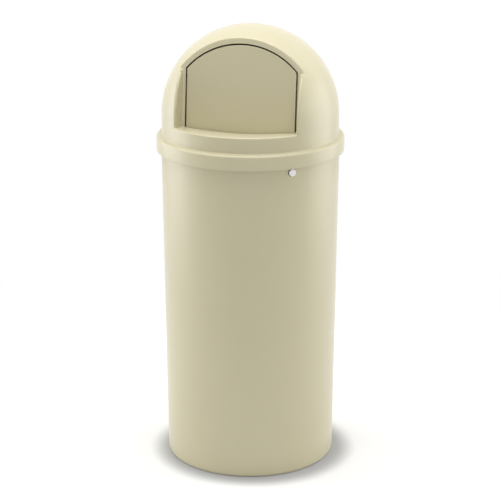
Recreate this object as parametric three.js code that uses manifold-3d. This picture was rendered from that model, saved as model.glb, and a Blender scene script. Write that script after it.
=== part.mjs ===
// A dome top waste receptacle: a tall round tub, and over its rim a dome whose front recess holds a
// sprung push door. Millimetres, +Z up, origin on the floor under the middle, door facing -Y.
import * as THREE from "three";
import { mergeVertices } from "three/addons/utils/BufferGeometryUtils.js";
import Module from "manifold-3d";

const wasm = await Module();
wasm.setup();

// ---------------------------------------------------------------- driving dimensions
const OVERALL_HEIGHT = 927;
const COLLAR_DIAMETER = 390.5;

// dome
const DOME_WALL = 4;
const COLLAR_HEIGHT = 31;
const COLLAR_OVERHANG = 11.65; // how far the collar stands out from the dome's own wall
const COLLAR_ROUND = 5;
const COLLAR_EDGE_ROUND = 1.5;
const NECK_HEIGHT = 44.3; // straight wall between the collar's shoulder and the half sphere
const NECK_FILLET = 3;

// tub
const TUB_WALL = 4;
const TUB_INSET = 6.05; // from the collar's inner wall to the tub's outer wall
const TUB_TAPER = 7.9; // radius at the rim less radius at the floor
const TUB_BASE_ROUND = 9;
const TUB_FOOT_WIDTH = 30; // flat ring that stands on the floor
const TUB_KICK_UP = 6; // how far the middle of the base is raised
const RIM_BEAD_HEIGHT = 11;
const RIM_BEAD_ROUND = 2.5;

// recess in the front of the dome
const FACE_LEAN = 7; // degrees, the top leans back
const FACE_SETBACK = 89.2; // from the dome's front to the face's base line
const FACE_BASE_BELOW_CENTRE = 16.4; // the base line, under the half sphere's centre
const RECESS_INSET = 62.6; // from the dome's side to the recess's side wall
const TOP_FLANGE = 11.8; // face left over the opening
const CORNER_FLANGE = 10.1; // face left at the opening's upper corners
const SIDE_FLANGE = 5.5; // face left beside the opening
const SIDE_DRAFT = 6; // degrees
const CHEEK_BELOW_CORNER = 1.3; // the side walls end this far under the door's upper corners
const SILL_BELOW_CENTRE = 9.9; // outer edge of the sill
const SILL_SLOPE = 7.8; // degrees, down towards the door
const HEM_DEPTH = 20; // the sill's turned-down edge, measured down the face
const HEM_WALL = 4;

// push door
const DOOR_BELOW_BASE = 17;
const DOOR_PANEL = 3.2;
const DOOR_RIM_DEPTH = 14;
const DOOR_RIM_WALL = 3;
const DOOR_GAP = 2.4; // round the sides and the arch
const LUG_WIDTH = 4;
const LUG_INSET = 6; // from the door's edge to the lug
const LUG_RADIUS = 9.5;

// hinge
const HINGE_BELOW_CORNER = 9.3; // axis under the door's upper corners
const ROD_RADIUS = 3.5;
const ROD_CHAMFER = 0.6;
const BUSH_WALL = 2.2;
const BUSH_FLANGE_WIDTH = 2.2;
const BUSH_FLANGE_THICKNESS = 1.5;
const BRACKET_PLATE = 2;
const BRACKET_FOOT_LENGTH = 22;
const BRACKET_FOOT_DROP = 36; // hinge axis down to the foot's lower end
const BRACKET_REACH = 8; // plate beyond the rod, upwards and backwards
const PAD_DEPTH = 6; // moulded pad behind the recess's flange
const PAD_BELOW_FOOT = 2;
const SCREW_RADIUS = 1.6;
const SCREW_TIP_RADIUS = 0.8;
const SCREW_LENGTH = 6.5; // in the pad
const SCREW_HEAD_RADIUS = 3.2;
const SCREW_HEAD_HEIGHT = 2.2;
const SCREW_HEAD_ROUND = 0.9;
const SCREW_SPACING = 10;
const CAP_WALL = 1.6;
const CAP_LENGTH = 3.6;

// door springs
const WIRE_RADIUS = 0.9;
const COIL_RADIUS = 6.6; // middle of the wire
const COIL_TURNS = 3.75;
const COIL_PITCH = 2.3; // along the rod for each turn
const SPRING_DOOR_LEG = 28; // down from the rod to the hook on the door
const SPRING_HOOK = 9;

// stops, band and plugs
const BUMPER_WIDTH = 18;
const BUMPER_HEIGHT = 9;
const BUMPER_FROM_MIDDLE = 80;
const BUMPER_ABOVE_EDGE = 1; // over the door's lower edge
const BAND_THICKNESS = 2.6;
const BAND_HEIGHT = 9;
const PLUG_ANGLE = 39.8; // degrees from the front towards +X
const PLUG_BELOW_COLLAR = 9.6; // collar's lower edge to the middle of the plug
const PLUG_RADIUS = 6.9;
const PLUG_PROUD = 3.2;
const PLUG_CROWN = 1.7; // rounding of the plug's edge
const PLUG_SHANK_RADIUS = 5.6;
const PLUG_BARB = 1.2;
const PLUG_TIP = 2; // length of the barb, which narrows by half of this
const GROMMET_RADIUS = 8.3;
const GROMMET_FLANGE = 2.6;
const GROMMET_FLANGE_THICKNESS = 1.4;

// clearances
const SEAT_GAP = 0.3; // between pieces that touch or fit
const RIM_CLEARANCE = 1; // rim bead to the collar's inner wall
const STOP_GAP = 2.4; // door's front to the back of the hem
const ROD_CLEARANCE = 0.5; // door's rim to the rod
const SIDE_CLEARANCE = 1.6; // door's edge to the coil beside it
const COIL_CLEARANCE = 1.5; // coil to the bracket
const PIN_CLEARANCE = 0.6; // spring's pin in the bracket

// facets and cutters
const ROUND_STEPS = 64; // round the tub and dome
const ARCH_STEPS = 24; // along the door's arch
const SMALL_STEPS = 24; // round a plug, an eye or a bush
const ROD_STEPS = 20;
const SCREW_STEPS = 12;
const COIL_STEPS = 8; // points in each turn of a spring
const WIRE_SIDES = 5;
const WIRE_STEP = 3.6; // along the wire
const OVERCUT = 1; // how far a cutter runs past what it cuts

// ---------------------------------------------------------------- worked out from them
const radians = THREE.MathUtils.degToRad;
const LEAN_SINE = Math.sin(radians(FACE_LEAN));
const LEAN_COSINE = Math.cos(radians(FACE_LEAN));

const COLLAR_RADIUS = COLLAR_DIAMETER / 2;
const COLLAR_INNER = COLLAR_RADIUS - DOME_WALL;
const DOME_RADIUS = COLLAR_RADIUS - COLLAR_OVERHANG;
const DOME_CENTRE = OVERALL_HEIGHT - DOME_RADIUS;
const SHOULDER = DOME_CENTRE - NECK_HEIGHT;
const COLLAR_BOTTOM = SHOULDER - COLLAR_HEIGHT;

const TUB_TOP_RADIUS = COLLAR_INNER - TUB_INSET;
const TUB_BASE_RADIUS = TUB_TOP_RADIUS - TUB_TAPER;
const TUB_HEIGHT = SHOULDER - DOME_WALL - SEAT_GAP;
const RIM_RADIUS = COLLAR_INNER - RIM_CLEARANCE;
const PLUG_HEIGHT = COLLAR_BOTTOM - PLUG_BELOW_COLLAR;

// the leaning face cuts the half sphere in a circle, whose middle is this far up the face
const FACE_FROM_AXIS = DOME_RADIUS - FACE_SETBACK;
const FACE_BASE = DOME_CENTRE - FACE_BASE_BELOW_CENTRE;
const FACE_FROM_CENTRE = FACE_FROM_AXIS * LEAN_COSINE - FACE_BASE_BELOW_CENTRE * LEAN_SINE;
const CIRCLE_MIDDLE = FACE_FROM_AXIS * LEAN_SINE + FACE_BASE_BELOW_CENTRE * LEAN_COSINE;
const CIRCLE_RADIUS = Math.sqrt(DOME_RADIUS ** 2 - FACE_FROM_CENTRE ** 2);
const SILL_HEIGHT = DOME_CENTRE - SILL_BELOW_CENTRE;
const HEM_BACK = -STOP_GAP;

// the door fills that circle, less the flanges
const RECESS_HALF = DOME_RADIUS - RECESS_INSET;
const DOOR_HALF = RECESS_HALF - SIDE_FLANGE - DOOR_GAP;
const DOOR_TOP = CIRCLE_MIDDLE + CIRCLE_RADIUS - TOP_FLANGE - DOOR_GAP;
const CORNER_RADIUS = CIRCLE_RADIUS - CORNER_FLANGE - DOOR_GAP;
const DOOR_CORNER = CIRCLE_MIDDLE + Math.sqrt(CORNER_RADIUS ** 2 - DOOR_HALF ** 2);
const ARCH_RISE = DOOR_TOP - DOOR_CORNER;
const ARCH_RADIUS = (DOOR_HALF ** 2 + ARCH_RISE ** 2) / (2 * ARCH_RISE);
const ARCH_MIDDLE = DOOR_TOP - ARCH_RADIUS;
const CHEEK_HEIGHT = DOOR_CORNER - CHEEK_BELOW_CORNER;

const HINGE_HEIGHT = DOOR_CORNER - HINGE_BELOW_CORNER;
const HINGE_DEPTH = DOOR_RIM_DEPTH + ROD_CLEARANCE + ROD_RADIUS;
const LUG_OUTER = DOOR_HALF - LUG_INSET;
const LUG_INNER = LUG_OUTER - LUG_WIDTH;
const ROD_BORE = ROD_RADIUS + SEAT_GAP;
const BUSH_RADIUS = ROD_BORE + BUSH_WALL;
const COIL_START = DOOR_HALF + SIDE_CLEARANCE + WIRE_RADIUS;
const COIL_END = COIL_START + COIL_TURNS * COIL_PITCH;
const BRACKET_INNER = COIL_END + WIRE_RADIUS + COIL_CLEARANCE;
const BRACKET_OUTER = BRACKET_INNER + BRACKET_PLATE;
const PAD_INNER = DOOR_HALF + DOOR_GAP + SEAT_GAP;
const PAD_BACK = DOME_WALL + PAD_DEPTH;
const FOOT_INNER = PAD_INNER + SEAT_GAP;
const FOOT_FRONT = PAD_BACK + SEAT_GAP;
const FOOT_BACK = FOOT_FRONT + BRACKET_PLATE;
const FOOT_BOTTOM = HINGE_HEIGHT - BRACKET_FOOT_DROP;
const FOOT_TOP = FOOT_BOTTOM + BRACKET_FOOT_LENGTH;
const SCREW_BORE = SCREW_RADIUS + SEAT_GAP;
const SCREW_X = (FOOT_INNER + BRACKET_OUTER) / 2;
const SCREW_LOWER = (FOOT_BOTTOM + FOOT_TOP - SCREW_SPACING) / 2;
const SCREW_UPPER = SCREW_LOWER + SCREW_SPACING;
const CAP_INNER = BRACKET_OUTER + SEAT_GAP;
const ROD_END = CAP_INNER + CAP_LENGTH - CAP_WALL - SEAT_GAP;

// ---------------------------------------------------------------- shape helpers
function at(x, y) {
  return new THREE.Vector2(x, y);
}

function arc(centreX, centreY, radius, fromDegrees, toDegrees, steps) {
  const points = [];
  for (let i = 0; i <= steps; i += 1) {
    const angle = radians(fromDegrees + ((toDegrees - fromDegrees) * i) / steps);
    points.push(at(centreX + radius * Math.cos(angle), centreY + radius * Math.sin(angle)));
  }
  return points;
}

// the profile of a plain cylinder, for the two functions below
function cylinder(radius, from, to) {
  return [at(0, from), at(radius, from), at(radius, to), at(0, to)];
}

// a profile of (radius, height) points turned round the Z axis
function turned(points, steps = ROUND_STEPS) {
  return new THREE.LatheGeometry(points, steps).rotateX(Math.PI / 2);
}

// the same, turned round the X axis: (radius, distance along X)
function turnedAlongX(points, steps) {
  return new THREE.LatheGeometry(points, steps).rotateZ(-Math.PI / 2);
}

// a flat shape drawn as (x, height) and given its thickness from one depth to another
function plate(shape, frontDepth, backDepth) {
  const options = { depth: backDepth - frontDepth, bevelEnabled: false, curveSegments: ARCH_STEPS };
  return new THREE.ExtrudeGeometry(shape, options).rotateX(Math.PI / 2).translate(0, backDepth, 0);
}

function block(x0, x1, y0, y1, z0, z1) {
  const box = new THREE.BoxGeometry(x1 - x0, y1 - y0, z1 - z0);
  return box.translate((x0 + x1) / 2, (y0 + y1) / 2, (z0 + z1) / 2);
}

// two distances from the middle, as an X range on the right (side 1) or the left (side -1)
function mirrored(side, near, far) {
  return side > 0 ? [near, far] : [-far, -near];
}

// a geometry as a solid, with shared vertices merged and empty triangles left out
function solid(geometry) {
  const bare = geometry.clone();
  bare.deleteAttribute("normal");
  bare.deleteAttribute("uv");
  const merged = mergeVertices(bare, 1e-4);
  const index = merged.index.array;
  const kept = [];
  for (let i = 0; i < index.length; i += 3) {
    const [a, b, c] = [index[i], index[i + 1], index[i + 2]];
    if (a !== b && b !== c && a !== c) {
      kept.push(a, b, c);
    }
  }
  const vertProperties = new Float32Array(merged.attributes.position.array);
  const triVerts = new Uint32Array(kept);
  return new wasm.Manifold(new wasm.Mesh({ numProp: 3, vertProperties, triVerts }));
}

function geometryOf(manifold) {
  const mesh = manifold.getMesh();
  const geometry = new THREE.BufferGeometry();
  geometry.setAttribute("position", new THREE.BufferAttribute(mesh.vertProperties, 3));
  geometry.setIndex(new THREE.BufferAttribute(mesh.triVerts, 1));
  geometry.computeVertexNormals();
  return geometry;
}

// from the leaning face's own axes (x, depth behind the face, height up the face) to the object's
function ontoFace(geometry) {
  return geometry.rotateX(-radians(FACE_LEAN)).translate(0, -FACE_FROM_AXIS, FACE_BASE);
}

// turns a +Z axis outwards at the plug's height and angle, starting at a radius
function plugPlace(geometry, degrees, radius) {
  geometry.rotateX(Math.PI / 2).translate(0, -radius, PLUG_HEIGHT);
  return geometry.rotateZ(radians(degrees));
}

// turns a +Z axis backwards from the face, starting at a depth, in the middle of a screw
function screwPlace(geometry, side, depth, height) {
  return geometry.rotateX(-Math.PI / 2).translate(side * SCREW_X, depth, height);
}

// ---------------------------------------------------------------- materials
const finishes = {
  shell: { color: 0xcdc4a4, roughness: 0.48, metalness: 0 },
  door: { color: 0xc9c0a0, roughness: 0.46, metalness: 0 },
  steel: { color: 0xa9acae, roughness: 0.32, metalness: 1 },
  spring: { color: 0x8d8f90, roughness: 0.35, metalness: 1 },
  nylon: { color: 0xf1f1ec, roughness: 0.4, metalness: 0 },
  rubber: { color: 0x1c1c1b, roughness: 0.8, metalness: 0 },
};

function piece(name, shape, finish) {
  const geometry = shape.isBufferGeometry ? shape : geometryOf(shape);
  const mesh = new THREE.Mesh(geometry, new THREE.MeshStandardMaterial(finishes[finish]));
  mesh.name = name;
  return mesh;
}

// ---------------------------------------------------------------- tub
function wallRadius(z) {
  return TUB_BASE_RADIUS + (TUB_TAPER * z) / TUB_HEIGHT;
}

function tub() {
  const beadBottom = TUB_HEIGHT - RIM_BEAD_HEIGHT;
  const beadMiddle = RIM_RADIUS - RIM_BEAD_ROUND;
  const footInner = TUB_BASE_RADIUS - TUB_BASE_ROUND - TUB_FOOT_WIDTH;
  const roundMiddle = TUB_BASE_RADIUS - TUB_BASE_ROUND;
  const body = turned([
    at(0, TUB_KICK_UP),
    at(footInner - TUB_KICK_UP, TUB_KICK_UP),
    at(footInner, 0),
    ...arc(roundMiddle, TUB_BASE_ROUND, TUB_BASE_ROUND, -90, 0, 4),
    at(wallRadius(beadBottom), beadBottom),
    at(beadMiddle, beadBottom),
    ...arc(beadMiddle, beadBottom + RIM_BEAD_ROUND, RIM_BEAD_ROUND, -60, 0, 2),
    ...arc(beadMiddle, TUB_HEIGHT - RIM_BEAD_ROUND, RIM_BEAD_ROUND, 0, 90, 3),
    at(wallRadius(TUB_HEIGHT) - TUB_WALL, TUB_HEIGHT),
    ...arc(roundMiddle, TUB_BASE_ROUND, TUB_BASE_ROUND - TUB_WALL, 0, -90, 3),
    at(footInner, TUB_WALL),
    at(footInner - TUB_KICK_UP, TUB_WALL + TUB_KICK_UP),
    at(0, TUB_WALL + TUB_KICK_UP),
  ]);
  let shell = solid(body);
  const halfDrill = TUB_WALL + TUB_TAPER;
  for (const degrees of [PLUG_ANGLE, PLUG_ANGLE + 180]) {
    const drill = turned(cylinder(GROMMET_RADIUS + SEAT_GAP, -halfDrill, halfDrill), SMALL_STEPS);
    shell = shell.subtract(solid(plugPlace(drill, degrees, wallRadius(PLUG_HEIGHT))));
  }
  return shell;
}

function grommet(degrees) {
  const inside = wallRadius(PLUG_HEIGHT) - TUB_WALL - SEAT_GAP;
  const bore = PLUG_SHANK_RADIUS + SEAT_GAP;
  const flange = GROMMET_RADIUS + GROMMET_FLANGE;
  const length = TUB_WALL + SEAT_GAP;
  const profile = [
    at(bore, -GROMMET_FLANGE_THICKNESS),
    at(flange, -GROMMET_FLANGE_THICKNESS),
    at(flange, -SEAT_GAP),
    at(GROMMET_RADIUS, -SEAT_GAP),
    at(GROMMET_RADIUS, length),
    at(bore, length),
    at(bore, -GROMMET_FLANGE_THICKNESS),
  ];
  return plugPlace(turned(profile, SMALL_STEPS), degrees, inside);
}

function holePlug(degrees) {
  const tail = -(TUB_WALL + SEAT_GAP + GROMMET_FLANGE_THICKNESS + SEAT_GAP);
  const profile = [
    at(0, tail - PLUG_TIP),
    at(PLUG_SHANK_RADIUS + PLUG_BARB - PLUG_TIP / 2, tail - PLUG_TIP),
    at(PLUG_SHANK_RADIUS + PLUG_BARB, tail),
    at(PLUG_SHANK_RADIUS, tail),
    at(PLUG_SHANK_RADIUS, SEAT_GAP),
    at(PLUG_RADIUS, SEAT_GAP),
    ...arc(PLUG_RADIUS - PLUG_CROWN, PLUG_PROUD - PLUG_CROWN, PLUG_CROWN, 0, 90, 3),
    at(0, PLUG_PROUD),
  ];
  return plugPlace(turned(profile, SMALL_STEPS), degrees, wallRadius(PLUG_HEIGHT));
}

function bagBand() {
  const top = TUB_HEIGHT - RIM_BEAD_HEIGHT - SEAT_GAP;
  const bottom = top - BAND_HEIGHT;
  const inner = wallRadius(top) + SEAT_GAP;
  const outer = inner + BAND_THICKNESS;
  return turned([at(inner, bottom), at(outer, bottom), at(outer, top), at(inner, top), at(inner, bottom)]);
}

// ---------------------------------------------------------------- dome
// an arch-topped outline: straight sides, and an arch concentric with the door's, grown by a margin
function archShape(margin, bottom) {
  const half = DOOR_HALF + margin;
  const radius = ARCH_RADIUS + margin;
  const corner = Math.sqrt(radius ** 2 - half ** 2);
  const start = Math.atan2(corner, half);
  const shape = new THREE.Shape();
  shape.moveTo(-half, bottom);
  shape.lineTo(half, bottom);
  shape.lineTo(half, ARCH_MIDDLE + corner);
  shape.absarc(0, ARCH_MIDDLE, radius, start, Math.PI - start, false);
  shape.closePath();
  return shape;
}

// everything in front of the leaning face, grown by a margin: between the side walls, and above the
// cheeks out to the dome's own surface
function recessSpace(margin) {
  const front = -DOME_RADIUS;
  const low = -FACE_FROM_AXIS;
  const high = 2 * DOME_RADIUS;
  const near = RECESS_HALF + margin;
  const far = near + (margin - front) * Math.tan(radians(SIDE_DRAFT));
  const plan = new THREE.Shape([at(-near, margin), at(-far, front), at(far, front), at(near, margin)]);
  const options = { depth: high - low, bevelEnabled: false };
  const between = new THREE.ExtrudeGeometry(plan, options).translate(0, 0, low);
  const above = block(-high, high, front, margin, CHEEK_HEIGHT - margin, high);
  return solid(ontoFace(between)).add(solid(ontoFace(above)));
}

// everything under the sill, which slopes down towards the axis as a shallow cone
function underSill(drop) {
  const reach = 2 * DOME_RADIUS;
  const slope = Math.tan(radians(SILL_SLOPE));
  const atAxis = SILL_HEIGHT - drop - slope * DOME_RADIUS;
  return solid(turned([at(0, 0), at(reach, 0), at(reach, atAxis + slope * reach), at(0, atAxis)]));
}

// the moulded pad that a hinge bracket is screwed to, behind the recess's flange
function hingePad(side) {
  const [x0, x1] = mirrored(side, PAD_INNER, BRACKET_OUTER + DOME_WALL / 2);
  return block(x0, x1, DOME_WALL / 2, PAD_BACK, FOOT_BOTTOM - PAD_BELOW_FOOT, FOOT_TOP + SEAT_GAP);
}

function domeTop() {
  const edge = COLLAR_RADIUS - COLLAR_EDGE_ROUND;
  const outside = turned([
    at(0, COLLAR_BOTTOM),
    ...arc(edge, COLLAR_BOTTOM + COLLAR_EDGE_ROUND, COLLAR_EDGE_ROUND, -90, 0, 2),
    ...arc(COLLAR_RADIUS - COLLAR_ROUND, SHOULDER - COLLAR_ROUND, COLLAR_ROUND, 0, 90, 4),
    ...arc(DOME_RADIUS + NECK_FILLET, SHOULDER + NECK_FILLET, NECK_FILLET, 270, 180, 3),
    ...arc(0, DOME_CENTRE, DOME_RADIUS, 0, 90, 16),
  ]);
  const innerRadius = DOME_RADIUS - DOME_WALL;
  const inside = turned([
    at(0, COLLAR_BOTTOM - OVERCUT),
    at(COLLAR_INNER, COLLAR_BOTTOM - OVERCUT),
    at(COLLAR_INNER, SHOULDER - DOME_WALL),
    at(innerRadius, SHOULDER - DOME_WALL),
    ...arc(0, DOME_CENTRE, innerRadius, 0, 90, 14),
  ]);
  const whole = solid(outside);
  const backing = recessSpace(DOME_WALL).subtract(underSill(DOME_WALL)).intersect(whole);
  const hem = block(-RECESS_HALF, RECESS_HALF, HEM_BACK - HEM_WALL, HEM_BACK, -HEM_DEPTH, DOME_WALL);
  let shell = whole.subtract(solid(inside)).add(backing).add(solid(ontoFace(hem)));
  for (const side of [-1, 1]) {
    shell = shell.add(solid(ontoFace(hingePad(side))));
  }
  shell = shell.subtract(recessSpace(0).subtract(underSill(0)));
  const opening = plate(archShape(DOOR_GAP, -HEM_DEPTH - OVERCUT), HEM_BACK, PAD_BACK);
  shell = shell.subtract(solid(ontoFace(opening)));
  for (const side of [-1, 1]) {
    for (const height of [SCREW_LOWER, SCREW_UPPER]) {
      const bore = turned(cylinder(SCREW_BORE, 0, SCREW_LENGTH + OVERCUT), SCREW_STEPS);
      screwPlace(bore, side, PAD_BACK - SCREW_LENGTH, height);
      shell = shell.subtract(solid(ontoFace(bore)));
    }
  }
  return shell;
}

// ---------------------------------------------------------------- door and hinge, on the face's axes
function pushDoor() {
  const panel = plate(archShape(0, -DOOR_BELOW_BASE), 0, DOOR_PANEL);
  const outline = plate(archShape(0, -DOOR_BELOW_BASE), 0, DOOR_RIM_DEPTH);
  const within = archShape(-DOOR_RIM_WALL, DOOR_RIM_WALL - DOOR_BELOW_BASE);
  const hollow = plate(within, DOOR_PANEL, DOOR_RIM_DEPTH + OVERCUT);
  let door = solid(outline).subtract(solid(hollow)).add(solid(panel));
  const armBottom = HINGE_HEIGHT - LUG_RADIUS;
  const armTop = HINGE_HEIGHT + LUG_RADIUS;
  for (const side of [-1, 1]) {
    const [x0, x1] = mirrored(side, LUG_INNER, LUG_OUTER);
    const arm = block(x0, x1, DOOR_PANEL / 2, HINGE_DEPTH, armBottom, armTop);
    const eye = turnedAlongX(cylinder(LUG_RADIUS, x0, x1), SMALL_STEPS);
    const bore = turnedAlongX(cylinder(BUSH_RADIUS + SEAT_GAP, x0 - OVERCUT, x1 + OVERCUT), SMALL_STEPS);
    eye.translate(0, HINGE_DEPTH, HINGE_HEIGHT);
    bore.translate(0, HINGE_DEPTH, HINGE_HEIGHT);
    door = door.add(solid(arm)).add(solid(eye)).subtract(solid(bore));
  }
  return door;
}

// a profile drawn for the right-hand side, turned round the hinge's axis and mirrored for the left
function onHinge(profile, side) {
  const shape = turnedAlongX(profile, ROD_STEPS);
  if (side < 0) {
    shape.rotateZ(Math.PI);
  }
  return shape.translate(0, HINGE_DEPTH, HINGE_HEIGHT);
}

function doorBush(side) {
  const flange = BUSH_RADIUS + BUSH_FLANGE_WIDTH;
  const flangeOuter = LUG_INNER - SEAT_GAP;
  const flangeInner = flangeOuter - BUSH_FLANGE_THICKNESS;
  const profile = [
    at(ROD_BORE, flangeInner),
    at(flange, flangeInner),
    at(flange, flangeOuter),
    at(BUSH_RADIUS, flangeOuter),
    at(BUSH_RADIUS, LUG_OUTER),
    at(ROD_BORE, LUG_OUTER),
    at(ROD_BORE, flangeInner),
  ];
  return onHinge(profile, side);
}

function hingeRod() {
  const profile = [
    at(0, -ROD_END),
    at(ROD_RADIUS - ROD_CHAMFER, -ROD_END),
    at(ROD_RADIUS, ROD_CHAMFER - ROD_END),
    at(ROD_RADIUS, ROD_END - ROD_CHAMFER),
    at(ROD_RADIUS - ROD_CHAMFER, ROD_END),
    at(0, ROD_END),
  ];
  return onHinge(profile, 1);
}

function rodCap(side) {
  const outer = ROD_BORE + CAP_WALL;
  const end = CAP_INNER + CAP_LENGTH;
  const profile = [
    at(ROD_BORE, CAP_INNER),
    at(outer, CAP_INNER),
    at(outer, end - CAP_WALL / 2),
    at(outer - CAP_WALL / 2, end),
    at(0, end),
    at(0, ROD_END + SEAT_GAP),
    at(ROD_BORE, ROD_END + SEAT_GAP),
    at(ROD_BORE, CAP_INNER),
  ];
  return onHinge(profile, side);
}

// an angle: a foot on the moulded pad, and a cheek plate that carries the rod
function hingeBracket(side) {
  const [f0, f1] = mirrored(side, FOOT_INNER, BRACKET_OUTER);
  const [p0, p1] = mirrored(side, BRACKET_INNER, BRACKET_OUTER);
  const back = HINGE_DEPTH + BRACKET_REACH;
  const top = HINGE_HEIGHT + BRACKET_REACH;
  const foot = block(f0, f1, FOOT_FRONT, FOOT_BACK, FOOT_BOTTOM, FOOT_TOP);
  const cheek = block(p0, p1, FOOT_FRONT, back, FOOT_BOTTOM, top);
  const rodHole = turnedAlongX(cylinder(ROD_BORE, p0 - OVERCUT, p1 + OVERCUT), ROD_STEPS);
  rodHole.translate(0, HINGE_DEPTH, HINGE_HEIGHT);
  const pin = onCoil(1);
  const pinHole = turnedAlongX(cylinder(WIRE_RADIUS + PIN_CLEARANCE, p0 - OVERCUT, p1 + OVERCUT), 8);
  pinHole.translate(0, pin.y, pin.z);
  let bracket = solid(foot).add(solid(cheek)).subtract(solid(rodHole)).subtract(solid(pinHole));
  for (const height of [SCREW_LOWER, SCREW_UPPER]) {
    const bore = turned(cylinder(SCREW_BORE, -OVERCUT, BRACKET_PLATE + OVERCUT), SCREW_STEPS);
    bracket = bracket.subtract(solid(screwPlace(bore, side, FOOT_FRONT, height)));
  }
  return bracket;
}

function bracketScrew(side, height) {
  const tip = SEAT_GAP - SCREW_LENGTH - BRACKET_PLATE;
  const crown = SEAT_GAP + SCREW_HEAD_HEIGHT;
  const profile = [
    at(0, tip),
    at(SCREW_TIP_RADIUS, tip),
    at(SCREW_RADIUS, tip + SCREW_RADIUS),
    at(SCREW_RADIUS, SEAT_GAP),
    at(SCREW_HEAD_RADIUS, SEAT_GAP),
    at(SCREW_HEAD_RADIUS, crown - SCREW_HEAD_ROUND),
    at(SCREW_HEAD_RADIUS - SCREW_HEAD_ROUND, crown),
    at(0, crown),
  ];
  return screwPlace(turned(profile, SCREW_STEPS), side, FOOT_BACK, height);
}

// a place on the coil, from 0 at the door's leg to 1 at the bracket: it rises behind the rod first
function onCoil(share) {
  const angle = share * COIL_TURNS * 2 * Math.PI;
  const x = COIL_START + (COIL_END - COIL_START) * share;
  const depth = HINGE_DEPTH + COIL_RADIUS * Math.cos(angle);
  return new THREE.Vector3(x, depth, HINGE_HEIGHT + COIL_RADIUS * Math.sin(angle));
}

// one wire: a hook over the door's rim, a leg up to the coil, the coil round the rod, and a pin that
// passes through the bracket
function springPoints(side) {
  const hookDepth = DOOR_RIM_DEPTH + SEAT_GAP + WIRE_RADIUS;
  const hookHeight = HINGE_HEIGHT - SPRING_DOOR_LEG;
  const coilSteps = COIL_TURNS * COIL_STEPS;
  const points = [
    new THREE.Vector3(COIL_START - SPRING_HOOK, hookDepth, hookHeight),
    new THREE.Vector3(COIL_START, hookDepth, hookHeight),
  ];
  for (let i = 0; i <= coilSteps; i += 1) {
    points.push(onCoil(i / coilSteps));
  }
  const pin = points[points.length - 1];
  points.push(pin.clone().setX(BRACKET_INNER));
  points.push(pin.clone().setX(BRACKET_OUTER + WIRE_RADIUS));
  return points.map((point) => point.setX(side * point.x));
}

// the least gap between turns that lie beside each other, from the surfaces of the wire
function leastGap(points) {
  let least = Infinity;
  for (let i = 0; i < points.length; i += 1) {
    for (let j = i + COIL_STEPS / 2; j < points.length; j += 1) {
      least = Math.min(least, points[i].distanceTo(points[j]) - 2 * WIRE_RADIUS);
    }
  }
  return least;
}

function doorSpring(side) {
  const points = springPoints(side);
  console.log(`door spring, least gap to itself ${leastGap(points).toFixed(2)} mm`);
  const extrudePath = new THREE.CatmullRomCurve3(points, false, "centripetal");
  const section = new THREE.Shape(arc(0, 0, WIRE_RADIUS, 0, 360 - 360 / WIRE_SIDES, WIRE_SIDES - 1));
  const steps = Math.round(extrudePath.getLength() / WIRE_STEP);
  return new THREE.ExtrudeGeometry(section, { steps, extrudePath, bevelEnabled: false });
}

// a rubber pad on the back of the hem, which the closed door rests against
function doorBumper(side) {
  const middle = side * BUMPER_FROM_MIDDLE;
  const x0 = middle - BUMPER_WIDTH / 2;
  const bottom = BUMPER_ABOVE_EDGE - DOOR_BELOW_BASE;
  return block(x0, x0 + BUMPER_WIDTH, HEM_BACK + SEAT_GAP, -SEAT_GAP, bottom, bottom + BUMPER_HEIGHT);
}

// ---------------------------------------------------------------- assembly
const receptacle = new THREE.Group();
receptacle.add(piece("tub", tub(), "shell"));
receptacle.add(piece("bag_band", bagBand(), "rubber"));
for (const [end, degrees] of [["front", PLUG_ANGLE], ["rear", PLUG_ANGLE + 180]]) {
  receptacle.add(piece(`hole_plug_${end}`, holePlug(degrees), "nylon"));
  receptacle.add(piece(`plug_grommet_${end}`, grommet(degrees), "rubber"));
}
receptacle.add(piece("dome_top", domeTop(), "shell"));

// the door and its hinge are drawn on the leaning face's own axes, and the group leans them
const face = new THREE.Group();
face.position.set(0, -FACE_FROM_AXIS, FACE_BASE);
face.rotation.x = -radians(FACE_LEAN);
face.add(piece("push_door", pushDoor(), "door"));
face.add(piece("hinge_rod", hingeRod(), "steel"));
for (const [hand, side] of [["left", -1], ["right", 1]]) {
  face.add(piece(`hinge_bracket_${hand}`, hingeBracket(side), "steel"));
  face.add(piece(`door_bush_${hand}`, doorBush(side), "nylon"));
  face.add(piece(`door_spring_${hand}`, doorSpring(side), "spring"));
  face.add(piece(`rod_cap_${hand}`, rodCap(side), "steel"));
  face.add(piece(`door_bumper_${hand}`, doorBumper(side), "rubber"));
  for (const [place, height] of [["lower", SCREW_LOWER], ["upper", SCREW_UPPER]]) {
    face.add(piece(`bracket_screw_${hand}_${place}`, bracketScrew(side, height), "steel"));
  }
}
receptacle.add(face);

const hingeY = HINGE_HEIGHT * LEAN_SINE + HINGE_DEPTH * LEAN_COSINE - FACE_FROM_AXIS;
const hingeZ = FACE_BASE + HINGE_HEIGHT * LEAN_COSINE - HINGE_DEPTH * LEAN_SINE;
console.log(`hinge axis at y ${hingeY.toFixed(4)}, z ${hingeZ.toFixed(4)} mm`);

export default receptacle;
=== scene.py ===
"""The looks of a dome top waste receptacle: moulded beige tub and dome, sprung push door, plugs and hinge.

Sizes are in millimetres until body() turns them into Blender's metres. The frame is the part's own:
+Z up, origin on the floor under the middle, the door facing -Y.
"""

import math

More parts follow.
